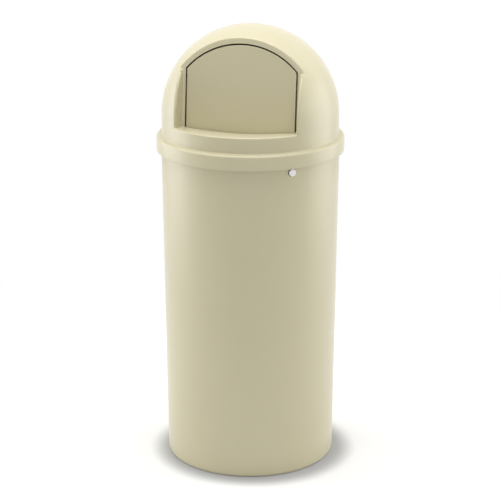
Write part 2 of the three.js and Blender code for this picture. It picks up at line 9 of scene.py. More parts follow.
import bmesh
import bpy
import numpy as np
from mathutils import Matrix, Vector

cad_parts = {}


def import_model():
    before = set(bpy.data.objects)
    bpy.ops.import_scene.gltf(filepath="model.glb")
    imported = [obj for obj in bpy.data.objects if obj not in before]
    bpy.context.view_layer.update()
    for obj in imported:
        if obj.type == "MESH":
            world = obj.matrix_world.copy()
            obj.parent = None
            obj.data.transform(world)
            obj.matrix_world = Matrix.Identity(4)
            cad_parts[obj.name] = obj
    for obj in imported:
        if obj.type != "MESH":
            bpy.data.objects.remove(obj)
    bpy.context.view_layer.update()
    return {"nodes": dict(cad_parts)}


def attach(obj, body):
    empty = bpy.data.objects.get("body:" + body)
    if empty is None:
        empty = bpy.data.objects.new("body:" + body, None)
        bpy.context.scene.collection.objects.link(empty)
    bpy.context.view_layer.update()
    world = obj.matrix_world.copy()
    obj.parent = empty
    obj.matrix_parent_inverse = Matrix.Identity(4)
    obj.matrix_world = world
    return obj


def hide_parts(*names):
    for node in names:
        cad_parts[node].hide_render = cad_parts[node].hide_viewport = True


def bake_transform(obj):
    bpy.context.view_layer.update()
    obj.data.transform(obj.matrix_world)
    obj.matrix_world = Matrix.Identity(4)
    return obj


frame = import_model()

MM = 0.001

# ---------------------------------------------------------------- sizes shared with the solid part
OVERALL_HEIGHT = 927.0
COLLAR_RADIUS = 195.25
WALL = 4.0  # tub and dome alike
SEAT_GAP = 0.3

DOME_RADIUS = COLLAR_RADIUS - 11.65
DOME_CENTRE = OVERALL_HEIGHT - DOME_RADIUS
SHOULDER = DOME_CENTRE - 44.3
COLLAR_BOTTOM = SHOULDER - 31.0
COLLAR_INNER = COLLAR_RADIUS - WALL
COLLAR_ROUND = 5.0
NECK_FILLET = 3.0
INNER_NECK_EDGE = SHOULDER - WALL + 2.0

TUB_TOP_RADIUS = COLLAR_INNER - 6.05
TUB_TAPER = 7.9
TUB_BASE_RADIUS = TUB_TOP_RADIUS - TUB_TAPER
TUB_HEIGHT = SHOULDER - WALL - SEAT_GAP
TUB_BASE_ROUND = 9.0
FOOT_WIDTH = 30.0
KICK_UP = 6.0
RIM_RADIUS = COLLAR_INNER - 1.0
BEAD_HEIGHT = 11.0
BEAD_ROUND = 2.5

LEAN = math.radians(7.0)
FACE_ORIGIN = np.array([0.0, 89.2 - DOME_RADIUS, DOME_CENTRE - 16.4])
ACROSS = np.array([1.0, 0.0, 0.0])
BACK = np.array([0.0, math.cos(LEAN), -math.sin(LEAN)])  # behind the leaning face
UP = np.array([0.0, math.sin(LEAN), math.cos(LEAN)])  # up the leaning face
RECESS_HALF = DOME_RADIUS - 62.6
SIDE_FLANGE = 5.5
TOP_FLANGE = 11.8
CORNER_FLANGE = 10.1
DOOR_GAP = 2.4
DRAFT = math.tan(math.radians(6.0))
SILL = DOME_CENTRE - 9.9
SILL_SLOPE = math.tan(math.radians(7.8))
HEM_DEPTH = 20.0
STOP_GAP = 2.4

# the leaning face cuts the half sphere in a circle; the door fills it, less the flanges
CENTRE_ON_FACE = np.array([0.0, 0.0, DOME_CENTRE]) - FACE_ORIGIN
CIRCLE_MIDDLE = float(CENTRE_ON_FACE @ UP)
OPENING_HALF = RECESS_HALF - SIDE_FLANGE
DOOR_HALF = OPENING_HALF - DOOR_GAP


def circle_radius(inset):
    """Radius of the circle in which the face, moved back by the inset, cuts the skin inside it."""
    return math.sqrt((DOME_RADIUS - inset) ** 2 - (float(CENTRE_ON_FACE @ BACK) - inset) ** 2)


DOOR_TOP = CIRCLE_MIDDLE + circle_radius(0) - TOP_FLANGE - DOOR_GAP
DOOR_CORNER = CIRCLE_MIDDLE + math.sqrt(
    (circle_radius(0) - CORNER_FLANGE - DOOR_GAP) ** 2 - DOOR_HALF**2
)
ARCH_RISE = DOOR_TOP - DOOR_CORNER
ARCH_RADIUS = (DOOR_HALF**2 + ARCH_RISE**2) / (2 * ARCH_RISE)
ARCH_MIDDLE = DOOR_TOP - ARCH_RADIUS
CHEEK_HEIGHT = DOOR_CORNER - 1.3
DOOR_BOTTOM = -17.0
DOOR_PANEL = 3.2
DOOR_RIM_DEPTH = 14.0
DOOR_RIM_WALL = 3.0
DOOR_RIM_TAPER = 0.9
DOOR_FOOT_ROUND, DOOR_CORNER_ROUND = 5.0, 3.5
DOOR_SIDE_TOP, DOOR_FOOT_HALF = 110.0, 100.0  # where the straight sides' points end
DOOR_MIDDLE_HEIGHT = 80.0

HINGE_HEIGHT = DOOR_CORNER - 9.3
HINGE_DEPTH = DOOR_RIM_DEPTH + 0.5 + 3.5
ROD_RADIUS = 3.5
ROD_BORE = ROD_RADIUS + SEAT_GAP
BUSH_RADIUS = ROD_BORE + 2.2
BUSH_FLANGE, BUSH_FLANGE_RADIUS = 1.5, BUSH_RADIUS + 2.2
LUG_OUTER = DOOR_HALF - 6.0
LUG_INNER = LUG_OUTER - 4.0
LUG_RADIUS = 9.5
WIRE_RADIUS = 0.9
COIL_RADIUS = 6.6
COIL_TURNS = 3.75
COIL_START = DOOR_HALF + 1.6 + WIRE_RADIUS
COIL_END = COIL_START + COIL_TURNS * 2.3
BRACKET_INNER = COIL_END + WIRE_RADIUS + 1.5
BRACKET_OUTER = BRACKET_INNER + 2.0
FOOT_INNER = DOOR_HALF + DOOR_GAP + 2 * SEAT_GAP
PAD_BACK = WALL + 6.0
FOOT_BACK = PAD_BACK + SEAT_GAP + 2.0
FOOT_BOTTOM = HINGE_HEIGHT - 36.0
FOOT_TOP = FOOT_BOTTOM + 22.0
SCREW_X = (FOOT_INNER + BRACKET_OUTER) / 2
SCREW_RADIUS, SCREW_LENGTH = 1.6, 8.5
SCREW_HEAD_RADIUS, SCREW_HEAD_HEIGHT = 3.2, 2.2
CAP_INNER = BRACKET_OUTER + SEAT_GAP
CAP_LENGTH = 3.6
CAP_WALL = 1.6
ROD_END = CAP_INNER + CAP_LENGTH - CAP_WALL - SEAT_GAP
BUMPER_X, BUMPER_HALF, BUMPER_HEIGHT = 80.0, 9.0, 9.0

PLUG_TURN = math.radians(39.8)  # from the front towards +X
PLUG_HEIGHT = COLLAR_BOTTOM - 9.6
PLUG_RADIUS = 6.9 + 0.7  # the head is drawn this much wider than the solid part's
PLUG_PROUD = 3.2
SHANK_RADIUS = 5.6
GROMMET_RADIUS = 8.3
GROMMET_LIP = 1.4  # inside the tub's wall
BAND_WIDTH, BAND_THICK = 9.0, 2.6


# ---------------------------------------------------------------- surfaces from grids of points
def cells(rows, cols, around, across):
    """Quads [j, i] of a grid: corners (j, i), (j, i+1), (j+1, i+1), (j+1, i), with the last row or
    column joined to the first where the grid closes on itself."""
    j = np.arange(rows if across else rows - 1)[:, None]
    i = np.arange(cols if around else cols - 1)[None, :]
    here, there = j * cols, ((j + 1) % rows) * cols
    beside = (i + 1) % cols
    return np.stack([here + i, here + beside, there + beside, there + i], -1)


def body(name, parts, crease=38.0):
    """A mesh object from (points, quads) pairs in mm. Shared points are welded, the faces are turned
    outwards by the sign of the volume they enclose, and edges sharper than the crease, in degrees,
    stay sharp."""
    points = np.concatenate([p.reshape(-1, 3) for p, _ in parts])
    starts = np.cumsum([0] + [p.size // 3 for p, _ in parts[:-1]])
    quads = np.concatenate([q.reshape(-1, 4) + s for (_, q), s in zip(parts, starts)])
    a, b, c, d = (points[quads[:, k]] for k in range(4))
    volume = np.einsum("ij,ij->", a, np.cross(b, c)) + np.einsum("ij,ij->", a, np.cross(c, d))
    if volume < 0:
        quads = quads[:, ::-1]
    mesh = bpy.data.meshes.new(name)
    mesh.vertices.add(len(points))
    mesh.vertices.foreach_set("co", (points * MM).astype(np.float32).ravel())
    mesh.loops.add(quads.size)
    mesh.loops.foreach_set("vertex_index", quads.astype(np.int32).ravel())
    mesh.polygons.add(len(quads))
    mesh.polygons.foreach_set("loop_start", np.arange(0, quads.size, 4, dtype=np.int32))
    mesh.update(calc_edges=True)
    welded = bmesh.new()
    welded.from_mesh(mesh)
    bmesh.ops.remove_doubles(welded, verts=welded.verts, dist=2e-6)
    welded.to_mesh(mesh)
    welded.free()
    mesh.polygons.foreach_set("use_smooth", np.ones(len(mesh.polygons), bool))
    mesh.set_sharp_from_angle(angle=math.radians(crease))
    made = bpy.data.objects.new(name, mesh)
    bpy.context.scene.collection.objects.link(made)
    return made


def surface(name, grid, across=True):
    """One piece from one grid of points, closed round its columns and, if across, over its rows."""
    rows, cols = grid.shape[:2]
    return body(name, [(grid, cells(rows, cols, True, across))])


def rounded(corners, steps=5, closed=False):
    """A line of (u, v, rounding) corners. Each rounded corner becomes the arc that touches both of its
    sides: its middle lies r / sin(half angle) along the bisector, and points turn round it evenly."""
    corners = np.asarray(corners, float)
    line = []
    for k, (u, v, radius) in enumerate(corners):
        here = np.array([u, v])
        if radius == 0 or (not closed and k in (0, len(corners) - 1)):
            line.append(here[None])
            continue
        before = corners[k - 1][:2] - here
        after = corners[(k + 1) % len(corners)][:2] - here
        before, after = before / np.linalg.norm(before), after / np.linalg.norm(after)
        half = math.acos(np.clip(before @ after, -1, 1)) / 2
        bisector = (before + after) / np.linalg.norm(before + after)
        middle = here + bisector * radius / math.sin(half)
        start = here + before * radius / math.tan(half) - middle
        end = here + after * radius / math.tan(half) - middle
        turn = math.pi - 2 * half
        share = np.linspace(0, 1, steps + 1)[:, None]
        swept = start * np.sin((1 - share) * turn) + end * np.sin(share * turn)
        line.append(middle + swept / math.sin(turn))
    return np.concatenate(line)


def spun(profile, origin=(0, 0, 0), axis=(0, 0, 1), side=(0, -1, 0), turns=None, steps=48):
    """A profile of (radius r, distance h) carried round an axis by the angle t:
    origin + h axis + r (cos t side + sin t axis x side)."""
    turns = np.linspace(0, 2 * math.pi, steps, endpoint=False) if turns is None else turns
    origin, axis, side = (np.asarray(v, float) for v in (origin, axis, side))
    other = np.cross(axis, side)
    r, h = profile[:, 0, None, None], profile[:, 1, None, None]
    t = turns[None, :, None]
    return origin + h * axis + r * (np.cos(t) * side + np.sin(t) * other)


def on_face(x, depth, height):
    """Points given across, behind and up the leaning face, in the object's own axes."""
    x, depth, height = np.broadcast_arrays(x, depth, height)
    return FACE_ORIGIN + x[..., None] * ACROSS + depth[..., None] * BACK + height[..., None] * UP


def smooth(share):
    """0 to 1 with level ends: 3 s^2 - 2 s^3."""
    s = np.clip(share, 0, 1)
    return s * s * (3 - 2 * s)


def evenly(path, count, power=1.0):
    """Each row of path[u, k] sampled at count points that are evenly spaced along its length, or
    bunched at its start where power is over 1."""
    step = np.linalg.norm(np.diff(path, axis=1), axis=-1)
    run = np.concatenate([np.zeros((len(path), 1)), np.cumsum(step, 1)], 1)
    goal = np.linspace(0, 1, count)[None] ** power * run[:, -1:]
    index = np.clip((run[:, None, :] <= goal[:, :, None]).sum(-1) - 1, 0, path.shape[1] - 2)
    low = np.take_along_axis(run, index, 1)
    gap = np.take_along_axis(run, index + 1, 1) - low
    share = ((goal - low) / np.maximum(gap, 1e-9))[..., None]
    a = np.take_along_axis(path, index[..., None], 1)
    b = np.take_along_axis(path, index[..., None] + 1, 1)
    return a + (b - a) * share


# ---------------------------------------------------------------- tub
PLUG_CELLS = 8  # cells of the wall, each way, that a plug's hole takes
TUB_COLUMNS = 320
CELL_TURN = 2 * math.pi / TUB_COLUMNS
CELL_HEIGHT = 3.6


def tub_wall(z):
    """Outer radius of the tub's tapered wall at a height."""
    return TUB_BASE_RADIUS + TUB_TAPER * z / TUB_HEIGHT


def wall_point(turn, z, inset):
    """A point on the tub's wall, the inset inside its outer skin."""
    r = tub_wall(z) - inset
    return np.stack([r * np.sin(turn), -r * np.cos(turn), z], -1)


def pierced(turn):
    """The wall round one plug hole. Rings go from the square of cells to the hole's circle on the
    outer skin, through the wall, and back to the square on the inner skin: ring = (1 - s) square +
    s circle, in turn and height."""
    k = np.arange(PLUG_CELLS)
    low, high = np.zeros_like(k), np.full_like(k, PLUG_CELLS)
    i = np.concatenate([k, high, PLUG_CELLS - k, low]) - PLUG_CELLS / 2
    j = np.concatenate([low, k, high, PLUG_CELLS - k]) - PLUG_CELLS / 2
    square = np.stack([i * CELL_TURN, j * CELL_HEIGHT], -1)
    outer = tub_wall(PLUG_HEIGHT)
    angle = np.arctan2(square[:, 1], outer * square[:, 0])

    def circle(radius, inset):
        return np.stack(
            [np.arcsin(radius * np.cos(angle) / (outer - inset)), radius * np.sin(angle)], -1
        )

    hole = GROMMET_RADIUS + SEAT_GAP
    rings = []
    for inset, shares in ((0.0, (0, 0.35, 0.7, 1)), (WALL, (1, 0.7, 0.35, 0))):
        edge = circle(hole + 0.4, inset)
        rings += [(square * (1 - s) + edge * s, inset) for s in shares]
        if inset == 0.0:
            rings += [(circle(hole, 0.4), 0.4), (circle(hole, WALL - 0.4), WALL - 0.4)]
    points = [wall_point(turn + ring[:, 0], PLUG_HEIGHT + ring[:, 1], inset) for ring, inset in rings]
    return np.stack(points), cells(len(rings), len(square), True, False)


def tub():
    """The tub's closed profile carried round Z, with a patch of cells left out at each plug hole and
    filled by pierced()."""
    foot = TUB_BASE_RADIUS - TUB_BASE_ROUND - FOOT_WIDTH
    bead = TUB_HEIGHT - BEAD_HEIGHT
    hole_rows = PLUG_HEIGHT + CELL_HEIGHT * (np.arange(PLUG_CELLS + 1) - PLUG_CELLS / 2)
    heights = np.concatenate([np.linspace(30, 630, 21), hole_rows, [bead - 6]])
    outer = [(tub_wall(z), z, 0) for z in heights]
    inner = [(tub_wall(z) - WALL, z, 0) for z in heights[::-1]]
    profile = rounded(
        [
            (0, KICK_UP, 0),
            (foot - KICK_UP, KICK_UP, 4),
            (foot, 0, 2),
            (TUB_BASE_RADIUS, 0, TUB_BASE_ROUND),
            *outer,
            (tub_wall(bead), bead, 0.8),
            (RIM_RADIUS, bead, BEAD_ROUND),
            (RIM_RADIUS, TUB_HEIGHT, BEAD_ROUND),
            (tub_wall(TUB_HEIGHT) - WALL, TUB_HEIGHT, 1.6),
            *inner,
            (TUB_BASE_RADIUS - WALL, WALL, TUB_BASE_ROUND - WALL),
            (foot, WALL, 2),
            (foot - KICK_UP, WALL + KICK_UP, 4),
            (0, WALL + KICK_UP, 0),
        ],
        steps=6,
    )
    turns = PLUG_TURN + CELL_TURN * np.arange(TUB_COLUMNS)
    grid = spun(profile, turns=turns)
    quads = cells(*grid.shape[:2], True, False)
    middle = (profile[:-1] + profile[1:]) / 2
    beside = np.abs(middle[:, 1] - PLUG_HEIGHT) < CELL_HEIGHT * PLUG_CELLS / 2
    in_wall = np.abs(tub_wall(middle[:, 1]) - WALL / 2 - middle[:, 0]) < WALL / 2 + 0.1
    column = np.arange(TUB_COLUMNS)
    half = PLUG_CELLS // 2
    near = ((column + half) % (TUB_COLUMNS // 2)) < PLUG_CELLS
    kept = quads[~((beside & in_wall)[:, None] & near[None, :])]
    return body("tub_shell", [(grid, kept), pierced(PLUG_TURN), pierced(PLUG_TURN + math.pi)])


# ---------------------------------------------------------------- dome
# A field is (value, slope): how far each point lies outside a surface, and the way out of it.
def rounded_and(first, second, radius):
    """Where both solids are: the edge between them is rounded. With values a and b moved in by the
    radius and c the slopes' product, the distance to the edge is sqrt((a^2 + b^2 - 2abc) / (1 - c^2))."""
    (a, slope_a), (b, slope_b) = first, second
    a, b = a + radius, b + radius
    c = np.clip((slope_a * slope_b).sum(-1), -0.98, 0.98)
    edge = (a > c * b) & (b > c * a)
    far = np.sqrt(np.maximum((a * a + b * b - 2 * a * b * c) / (1 - c * c), 1e-12))
    out = (a - c * b)[..., None] * slope_a + (b - c * a)[..., None] * slope_b
    out = out / ((1 - c * c) * far)[..., None]
    value = np.where(edge, far, np.maximum(a, b)) - radius
    slope = np.where(edge[..., None], out, np.where((a > b)[..., None], slope_a, slope_b))
    return value, slope


def rounded_or(first, second, radius):
    """Where either solid is, with the corner between them filled to a radius."""
    value, slope = rounded_and((-first[0], -first[1]), (-second[0], -second[1]), radius)
    return -value, -slope


def either(first, second):
    """Where either solid is, with a sharp corner."""
    nearer = first[0] < second[0]
    return np.where(nearer, first[0], second[0]), np.where(nearer[..., None], first[1], second[1])


def dome_field(p, inset, on_hem):
    """The dome less its recess, every skin moved in by the inset: sphere and neck, and inside them the
    leaning face, the cheeks beside it and the sloping sill with its turned-down hem. Where on_hem is
    true the face is left out, because the hem passes in front of it. The lip's rounding is largest at
    the cheeks' upper ends."""
    x, y, z = np.moveaxis(p, -1, 0)
    depth, height = (p - FACE_ORIGIN) @ BACK, (p - FACE_ORIGIN) @ UP
    flat = np.zeros_like(p)
    centre = np.stack([x, y, np.maximum(z - DOME_CENTRE, 0)], -1)
    far = np.linalg.norm(centre, axis=-1)
    skin = (far - (DOME_RADIUS - inset), centre / far[..., None])
    face = (inset - depth + 1000.0 * on_hem, flat - BACK)
    tilt = math.hypot(1, DRAFT)
    half = RECESS_HALF + inset + (inset - depth) * DRAFT
    wall = ((half - np.abs(x)) / tilt, (-np.sign(x)[..., None] * ACROSS - DRAFT * BACK) / tilt)
    top = (height - (CHEEK_HEIGHT - inset), flat + UP)
    r = np.hypot(x, y)
    steep = math.hypot(1, SILL_SLOPE)
    sill_value = (z - SILL + inset + SILL_SLOPE * (DOME_RADIUS - r)) / steep
    sill_slope = np.stack([-SILL_SLOPE * x / r, -SILL_SLOPE * y / r, np.ones_like(x)], -1) / steep
    hem = rounded_and((sill_value, sill_slope), (depth - hem_depth(x, inset), flat + BACK), 1.2)
    cheek = rounded_and(wall, top, CHEEK_ROUND - 0.4 * inset)
    behind = either(rounded_or(face, cheek, 2.0), rounded_or(cheek, hem, 3.0))
    swell = smooth(1 - np.abs(height - CHEEK_HEIGHT) / SWELL_REACH)
    return rounded_and(skin, behind, LIP_ROUND + LIP_SWELL * swell - 0.2 * inset)


def hem_depth(x, inset):
    """Depth of the hem's back (or of its front, for the inner skin): on the face at the recess's sides,
    and the stop gap in front of it elsewhere."""
    away = smooth((RECESS_HALF + inset - np.abs(x)) / HEM_SWING)
    return inset - (STOP_GAP + 2 * inset) * away


def settle(p, inset, on_hem):
    """Each point moved along its slope onto the rounded surface, in a few steps of value / slope^2."""
    for _ in range(6):
        value, slope = dome_field(p, inset, on_hem)
        p = p - (value / np.maximum((slope * slope).sum(-1), 1e-6))[..., None] * slope
    return p


def sill_height(x, depth, inset):
    """Height up the face of the sill's cone at a place across and behind the face."""
    height = np.zeros(np.broadcast(x, depth).shape)
    for _ in range(5):
        y = on_face(x, depth, height)[..., 1]
        z = SILL - inset - SILL_SLOPE * (DOME_RADIUS - np.hypot(x, y))
        height = (z - FACE_ORIGIN[2] - depth * BACK[2]) / UP[2]
    return height


def to_disc(p, radius):
    """The dome and neck laid flat: distance from the top along the skin, and the turn about Z."""
    above = np.clip((p[..., 2] - DOME_CENTRE) / radius, -1, 1)
    run = np.where(above > 0, radius * np.arccos(np.maximum(above, 0)), radius * (math.pi / 2 - above))
    turn = np.arctan2(p[..., 0], -p[..., 1])
    return np.stack([run * np.sin(turn), -run * np.cos(turn)], -1)


def from_disc(q, radius):
    """Back from the flat disc onto the half sphere or the neck."""
    run = np.linalg.norm(q, axis=-1)
    lean = np.minimum(run / radius, math.pi / 2)
    out = (radius * np.sin(lean) / np.maximum(run, 1e-9))[..., None]
    z = DOME_CENTRE + radius * np.cos(lean) - np.maximum(run - radius * math.pi / 2, 0)
    return np.concatenate([q * out, z[..., None]], -1)


ARCH_COLUMNS, CLAW_COLUMNS, SIDE_COLUMNS, SILL_COLUMNS = 58, 16, 42, 48
DISC_MIDDLE = np.array([0.0, -185.0])  # inside the recess's outline on the disc
LIP_REACH = 15.0  # past the lip, the skin is the plain sphere again
LIP_ROUND, LIP_SWELL = 2.8, 1.6
CHEEK_ROUND = 4.8
SWELL_REACH = 90.0  # up and down the face from the cheeks' upper ends
HEM_SWING = 14.0  # from the recess's side, the hem steps forward over this width
HEM_DROP = 24.0  # and its lower edge comes down over this one
OPENING_FOOT = -40.0  # the sides of the opening run on down to here, past the sill
FURTHEST_LIP = 150.0  # in front of the face
DISC_GROWTH = 1.7  # rows of the dome get wider towards the neck
EDGE_ROUND = 0.4  # of the opening's edges
EASE = 0.35  # the opening is drawn this much wider, and the door this much smaller


def opening_edge():
    """The right half of the opening's outline on the face, as a line of (x, height) with its length:
    over the arch, then straight down past the sill."""
    radius = ARCH_RADIUS + DOOR_GAP + EASE
    corner = math.asin((OPENING_HALF + EASE) / radius)
    turn = np.linspace(0, corner, 400)
    arch = np.stack([radius * np.sin(turn), ARCH_MIDDLE + radius * np.cos(turn)], -1)
    side = np.stack([np.full(2, OPENING_HALF + EASE), [arch[-1, 1], OPENING_FOOT]], -1)
    return np.concatenate([arch, side[1:]]), radius * corner


def half_outline(inset):
    """Four lines for the right half of the recess, from the middle of the arch to the middle of the
    sill: the opening's edge, the corner where face meets cheek or sill, the share of the cheek's
    height, and the share of the side walls' draft."""
    line, arch_length = opening_edge()
    run = np.concatenate([[0], np.cumsum(np.linalg.norm(np.diff(line, axis=0), axis=1))])

    def edge(length):
        return np.stack([np.interp(length, run, line[:, 0]), np.interp(length, run, line[:, 1])], -1)

    half = RECESS_HALF + inset
    cheek = CHEEK_HEIGHT - inset
    radius = circle_radius(inset)
    claw = math.acos((cheek - CIRCLE_MIDDLE) / radius)
    turn = np.linspace(0, claw, ARCH_COLUMNS, endpoint=False)
    k = np.linspace(0, 1, CLAW_COLUMNS, endpoint=False)
    s = np.linspace(0, 1, SIDE_COLUMNS, endpoint=False)
    b = np.linspace(0, 1, SILL_COLUMNS + 1)
    claw_x = radius * math.sin(claw)
    low = float(sill_height(half, inset, inset))
    edge_low = float(sill_height(OPENING_HALF, inset, inset))
    past_arch, past_corner = 0.965 * arch_length, arch_length + 4.0
    down = arch_length + line[-2, 1] - edge_low
    corner_x = np.concatenate(
        [radius * np.sin(turn), claw_x + (half - claw_x) * k, half + 0 * s, half * (1 - b)]
    )
    hem = hem_depth(corner_x[-len(b) :], inset)
    depth = np.concatenate([np.full(len(corner_x) - len(b), inset), hem])
    sill = sill_height(corner_x[-len(b) :], hem, inset)
    corner_h = np.concatenate(
        [CIRCLE_MIDDLE + radius * np.cos(turn), cheek + 0 * k, cheek + (low - cheek) * s, sill]
    )
    top = edge(
        np.concatenate(
            [
                past_arch * turn / claw,
                past_arch + (past_corner - past_arch) * k,
                past_corner + (down - past_corner) * s,
            ]
        )
    )
    drop = smooth(b * half / HEM_DROP)
    bottom = np.stack([OPENING_HALF * (1 - b), sill + (-HEM_DEPTH - sill) * drop], -1)
    opening = np.concatenate([top, bottom])
    share = np.concatenate([np.ones(len(turn) + len(k)), 1 - s, 0 * b])
    draft = np.concatenate([0 * turn, k, 1 + 0 * s, 1 + 0 * b])
    return opening, corner_x, corner_h, depth, share, draft


def both_halves(values):
    """The right half followed by its mirror image on the left, as one closed loop."""
    return np.concatenate([values, values[-2:0:-1] * [-1, 1, 1]])


def recess(inset, rows, spread, rim):
    """One skin of the recess and the dome round it, as rows of points: from the opening's edge over
    the flange, along cheek or sill to the lip, over it, and then along straight lines of the flat
    disc to a circle round the neck. The lip lies where the cheek or sill meets the skin, found by
    halving; the rows up to it are then settled onto the rounded surface. The rows past it lie at
    (e^(g s) - 1) / (e^g - 1) of the way."""
    radius = DOME_RADIUS - inset
    opening, corner_x, corner_h, depth, share, draft = half_outline(inset)
    edge = on_face(opening[:, 0], depth, opening[:, 1])
    corner = on_face(corner_x, depth, corner_h)
    half = RECESS_HALF + inset

    def forward(run):
        """Points that far in front of the corner line, on the cheeks and the sill."""
        x = corner_x[:, None] * (1 + run * DRAFT * draft[:, None] / half)
        back = depth[:, None] - run
        sill = sill_height(x, back, inset)
        height = sill + share[:, None] * (CHEEK_HEIGHT - inset - sill)
        flange = share[:, None] == 1
        return on_face(x, back, np.where(flange, corner_h[:, None], height))

    near, far = np.zeros((len(edge), 1)), np.full((len(edge), 1), FURTHEST_LIP)
    for _ in range(40):
        middle = (near + far) / 2
        p = forward(middle)
        centre = np.stack([p[..., 0], p[..., 1], np.maximum(p[..., 2] - DOME_CENTRE, 0)], -1)
        inside = np.linalg.norm(centre, axis=-1) < radius
        near, far = np.where(inside, middle, near), np.where(inside, far, middle)
    reach = near
    reach[:ARCH_COLUMNS] = 0
    walls = forward(reach * np.linspace(0, 1, 40)[None])
    lip = to_disc(walls[:, -1], radius)
    ray = lip - DISC_MIDDLE
    ray = ray / np.linalg.norm(ray, axis=-1)[:, None]
    rim_run = radius * math.pi / 2 + DOME_CENTRE - rim
    along = (DISC_MIDDLE * ray).sum(-1)
    out = -along + np.sqrt(along**2 + rim_run**2 - (DISC_MIDDLE**2).sum())
    length = out - np.linalg.norm(lip - DISC_MIDDLE, axis=-1)
    past = np.minimum(LIP_REACH, 0.45 * length)
    inward = edge - corner
    inward = inward / np.linalg.norm(inward, axis=-1)[:, None]
    start = edge - EDGE_ROUND * inward
    flange = start[:, None] + (corner - start)[:, None] * np.linspace(0, 1, 12)[None, :, None]
    over = lip[:, None] + ray[:, None] * (past[:, None] * np.linspace(0, 1, 16))[..., None]
    path = np.concatenate([flange[:, :-1], walls[:, :-1], from_disc(over, radius)], 1)
    path = evenly(path, rows)
    on_hem = np.zeros((len(path), 1))
    on_hem[-SILL_COLUMNS:] = 1
    path = settle(path, inset, on_hem)
    growth = np.linspace(0, 1, spread + 1)[1:]
    growth = (np.exp(DISC_GROWTH * growth) - 1) / (math.exp(DISC_GROWTH) - 1)
    away = past[:, None] + (length - past)[:, None] * growth[None]
    dome = from_disc(lip[:, None] + ray[:, None] * away[..., None], radius)
    rows_of_points = np.concatenate([path, dome], 1)
    rim_turn = np.unwrap(np.arctan2(*(lip + ray * length[:, None]).T * np.array([[1], [-1]])))
    return (
        both_halves(rows_of_points).swapaxes(0, 1),
        np.concatenate([rim_turn, -rim_turn[-2:0:-1]]),
        both_halves(inward),
    )


def opening_rim(front, back, inward):
    """The rounded edge of the opening, from the inner skin's first row to the outer skin's: a quarter
    turn of EDGE_ROUND at each side of the wall, towards the middle of the opening."""
    through = back - front
    thick = np.linalg.norm(through, axis=-1)[:, None]
    through = through / thick
    turn = np.linspace(0, math.pi / 2, 4)[:, None, None]
    quarter = EDGE_ROUND * np.sin(turn) * inward
    rise = EDGE_ROUND * (1 - np.cos(turn)) * through
    return np.concatenate([(back + quarter - rise)[1:], (front + quarter + rise)[:0:-1]])


def dome_top():
    """One closed sheet round the door opening: the outer skin out to the collar's lower edge, the inner
    skin back, and the opening's rounded edge between them."""
    outer, outer_turn, inward = recess(0.0, 72, 46, SHOULDER + NECK_FILLET)
    inner, inner_turn, _ = recess(WALL, 40, 34, INNER_NECK_EDGE)
    collar = rounded(
        [
            (DOME_RADIUS, SHOULDER + NECK_FILLET + 1, 0),
            (DOME_RADIUS, SHOULDER, NECK_FILLET),
            (COLLAR_RADIUS, SHOULDER, COLLAR_ROUND),
            (COLLAR_RADIUS, SHOULDER - 12, 0),
            (COLLAR_RADIUS, SHOULDER - 20, 0),
            (COLLAR_RADIUS, COLLAR_BOTTOM, 1.5),
            (COLLAR_INNER, COLLAR_BOTTOM, 0.8),
            (COLLAR_INNER, COLLAR_BOTTOM + 12, 0),
            (COLLAR_INNER, SHOULDER - WALL, 1.5),
            (DOME_RADIUS - WALL, SHOULDER - WALL, 1.2),
            (DOME_RADIUS - WALL, INNER_NECK_EDGE, 0),
        ],
        steps=6,
    )[2:-1]
    share = np.linspace(0, 1, len(collar))[:, None]
    turn = outer_turn * (1 - share) + inner_turn * share
    skirt = np.stack(
        [collar[:, :1] * np.sin(turn), -collar[:, :1] * np.cos(turn), collar[:, 1:] + 0 * turn], -1
    )
    edge = opening_rim(outer[0], inner[0], inward)
    return surface("dome_shell", np.concatenate([outer, skirt, inner[::-1], edge]))


# ---------------------------------------------------------------- push door
def door_outline():
    """The door's outline on the face and its outward directions, as closed rows of points: bottom edge,
    side, arch, side, with the corners rounded. The arch is (-R sin t, middle + R cos t)."""
    turn = np.linspace(-1, 1, 72)[1:-1] * math.asin(DOOR_HALF / ARCH_RADIUS)
    arch = np.stack([-ARCH_RADIUS * np.sin(turn), ARCH_MIDDLE + ARCH_RADIUS * np.cos(turn), 0 * turn], -1)
    up = np.linspace(0, DOOR_SIDE_TOP, 12)
    side = np.stack([0 * up + DOOR_HALF, up, 0 * up], -1)
    along = np.linspace(-DOOR_FOOT_HALF, DOOR_FOOT_HALF, 15)
    bottom = np.stack([along, 0 * along + DOOR_BOTTOM, 0 * along], -1)
    corners = [
        (-DOOR_HALF, DOOR_BOTTOM, DOOR_FOOT_ROUND),
        *bottom,
        (DOOR_HALF, DOOR_BOTTOM, DOOR_FOOT_ROUND),
        *side,
        (DOOR_HALF, DOOR_CORNER, DOOR_CORNER_ROUND),
        *arch,
        (-DOOR_HALF, DOOR_CORNER, DOOR_CORNER_ROUND),
        *side[::-1] * [-1, 1, 1],
    ]
    line = rounded(corners, closed=True)
    ahead = np.roll(line, -1, 0) - np.roll(line, 1, 0)
    ahead = ahead / np.linalg.norm(ahead, axis=1)[:, None]
    return line, np.stack([ahead[:, 1], -ahead[:, 0]], -1)


